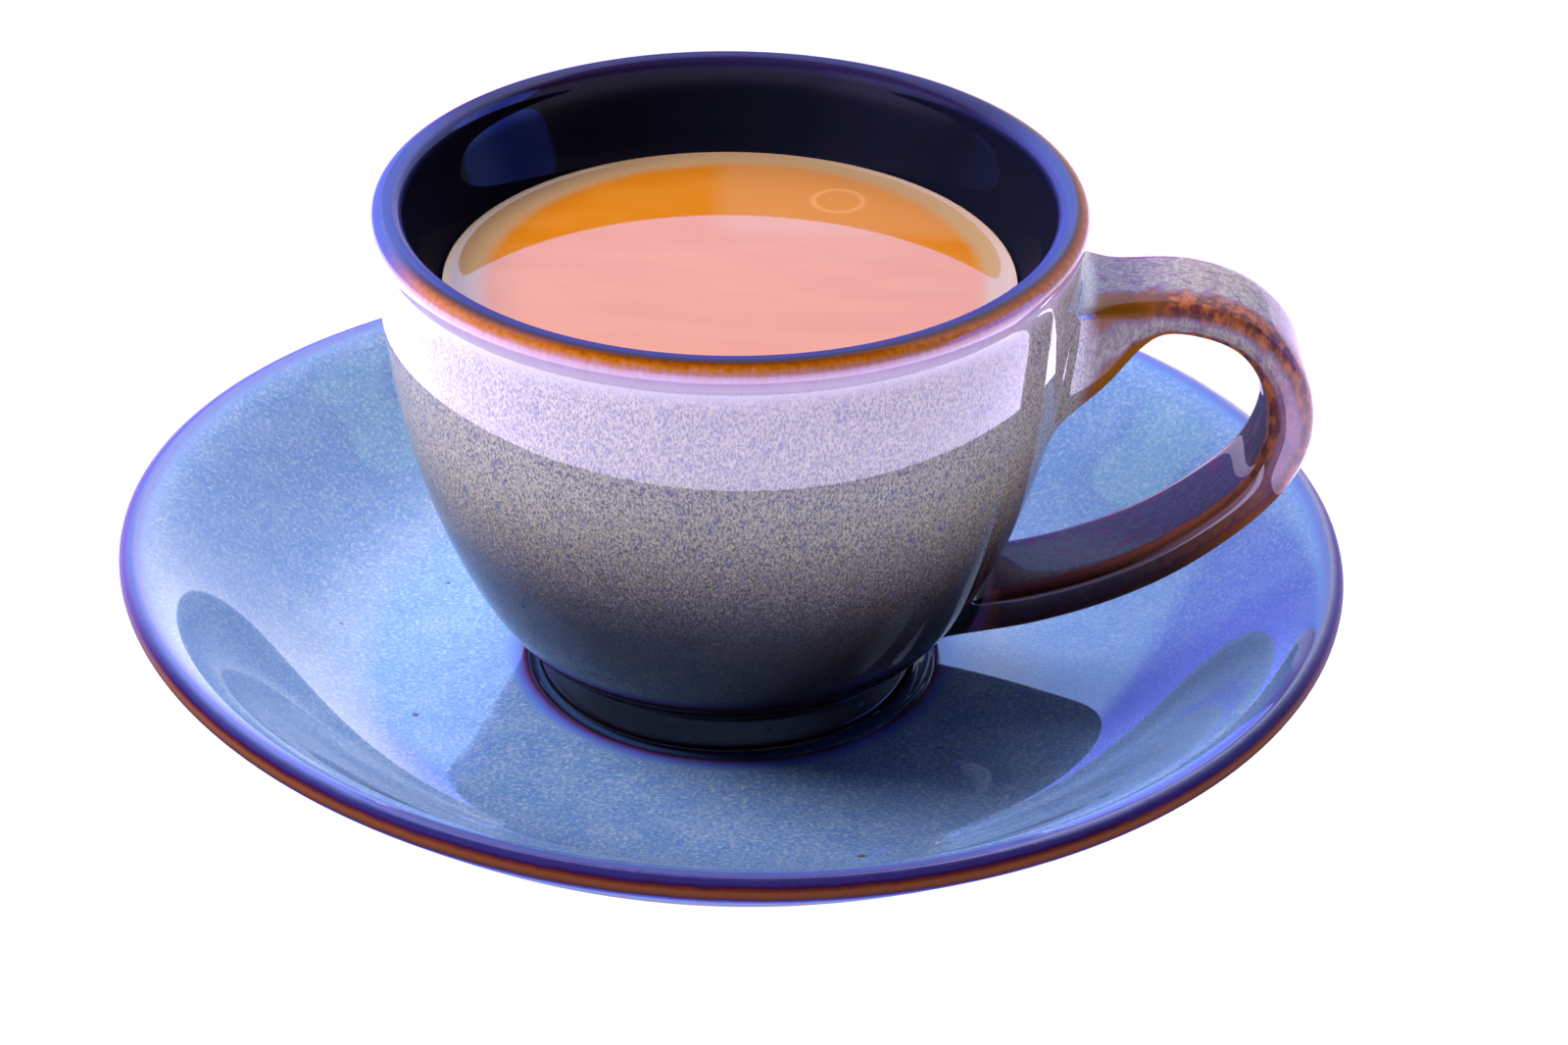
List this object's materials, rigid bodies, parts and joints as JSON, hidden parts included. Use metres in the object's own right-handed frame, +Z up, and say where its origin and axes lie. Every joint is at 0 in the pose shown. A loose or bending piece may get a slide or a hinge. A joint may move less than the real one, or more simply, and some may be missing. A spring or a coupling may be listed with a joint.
{
  "type": "cup of tea",
  "caption": "Thick glazed stoneware cup with a strap handle, filled with milky tea, standing in the well of its round saucer.",
  "frame": {"origin": "middle of the saucer's foot ring, on the table", "axes": "+Z up; the cup's handle points along +X; the picture's camera looks along +Y"},
  "size_m": [0.16, 0.16, 0.072],
  "materials": {
    "saucer_glaze": "gloss, speckled pale blue with a violet to brown lip",
    "cup_glaze": "gloss, speckled taupe outside, near-black navy inside, brown where the lip and handle edges break",
    "milky_tea": "opaque amber liquid with a mirror-smooth surface"
  },
  "bodies": {
    "root": {"saucer": "saucer_glaze", "cup": "cup_glaze", "tea": "milky_tea"}
  },
  "joints": []
}
